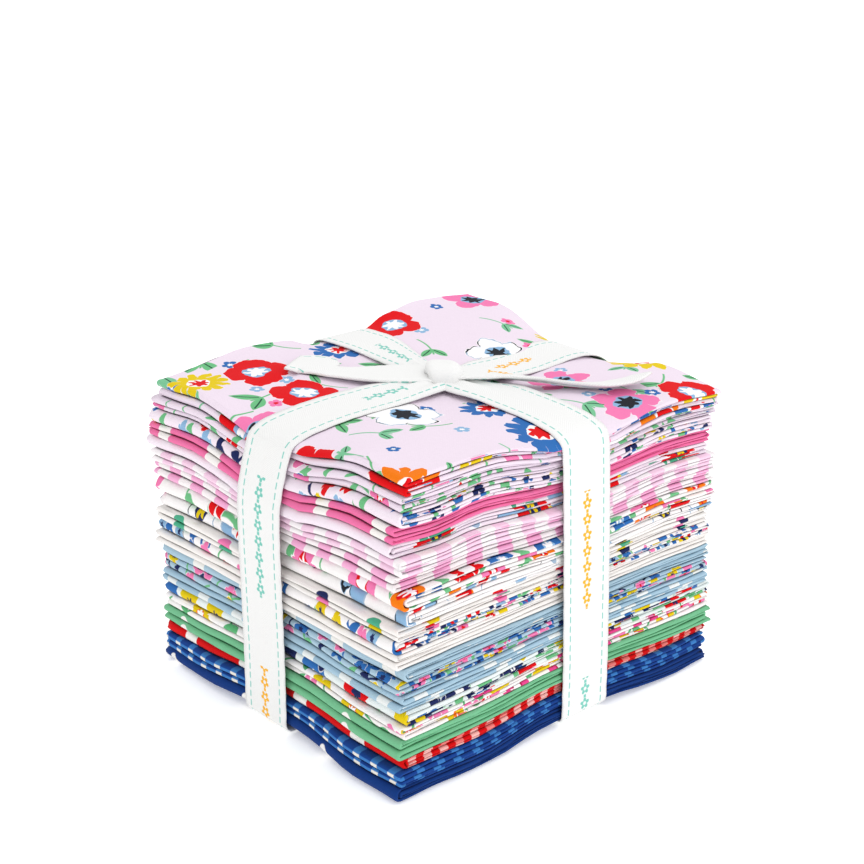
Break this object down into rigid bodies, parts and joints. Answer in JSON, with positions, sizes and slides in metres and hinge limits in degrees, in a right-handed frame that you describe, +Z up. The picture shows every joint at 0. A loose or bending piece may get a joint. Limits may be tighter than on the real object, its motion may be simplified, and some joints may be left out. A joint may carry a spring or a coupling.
{
  "type": "fat quarter bundle",
  "caption": "Stack of folded quilting cotton cuts, tied crosswise with a flat woven tape that is knotted on top and has free tails.",
  "frame": {"origin": "under the middle of the stack, on the flat underside of the tape that runs front to back beneath it", "axes": "+Z up through the stack, +Y from the side of the thick folds to the side of their free edges, +X to the side of layered edges seen in the picture"},
  "size_m": [0.1234, 0.1408, 0.1036],
  "materials": {
    "cotton_01": "printed plain-weave quilting cotton, matt",
    "cotton_02": "printed plain-weave quilting cotton, matt",
    "cotton_03": "printed plain-weave quilting cotton, matt",
    "cotton_04": "printed plain-weave quilting cotton, matt",
    "cotton_05": "printed plain-weave quilting cotton, matt",
    "cotton_06": "printed plain-weave quilting cotton, matt",
    "cotton_07": "printed plain-weave quilting cotton, matt",
    "cotton_08": "printed plain-weave quilting cotton, matt",
    "cotton_09": "printed plain-weave quilting cotton, matt",
    "cotton_10": "printed plain-weave quilting cotton, matt",
    "cotton_11": "printed plain-weave quilting cotton, matt",
    "cotton_12": "printed plain-weave quilting cotton, matt",
    "cotton_13": "printed plain-weave quilting cotton, matt",
    "cotton_14": "printed plain-weave quilting cotton, matt",
    "cotton_15": "printed plain-weave quilting cotton, matt",
    "cotton_16": "printed plain-weave quilting cotton, matt",
    "cotton_17": "printed plain-weave quilting cotton, matt",
    "cotton_18": "printed plain-weave quilting cotton, matt",
    "cotton_19": "printed plain-weave quilting cotton, matt",
    "cotton_20": "printed plain-weave quilting cotton, matt",
    "cotton_21": "printed plain-weave quilting cotton, matt",
    "tape": "white cotton twill tape with dashed coloured edges, matt"
  },
  "bodies": {
    "root": {"fat_quarter_01": "cotton_01", "fat_quarter_02": "cotton_02", "fat_quarter_03": "cotton_03", "fat_quarter_04": "cotton_04", "fat_quarter_05": "cotton_05", "fat_quarter_06": "cotton_06", "fat_quarter_07": "cotton_07", "fat_quarter_08": "cotton_08", "fat_quarter_09": "cotton_09", "fat_quarter_10": "cotton_10", "fat_quarter_11": "cotton_11", "fat_quarter_12": "cotton_12", "fat_quarter_13": "cotton_13", "fat_quarter_14": "cotton_14", "fat_quarter_15": "cotton_15", "fat_quarter_16": "cotton_16", "fat_quarter_17": "cotton_17", "fat_quarter_18": "cotton_18", "fat_quarter_19": "cotton_19", "fat_quarter_20": "cotton_20", "fat_quarter_21": "cotton_21", "ribbon_tie": "tape"}
  },
  "joints": []
}
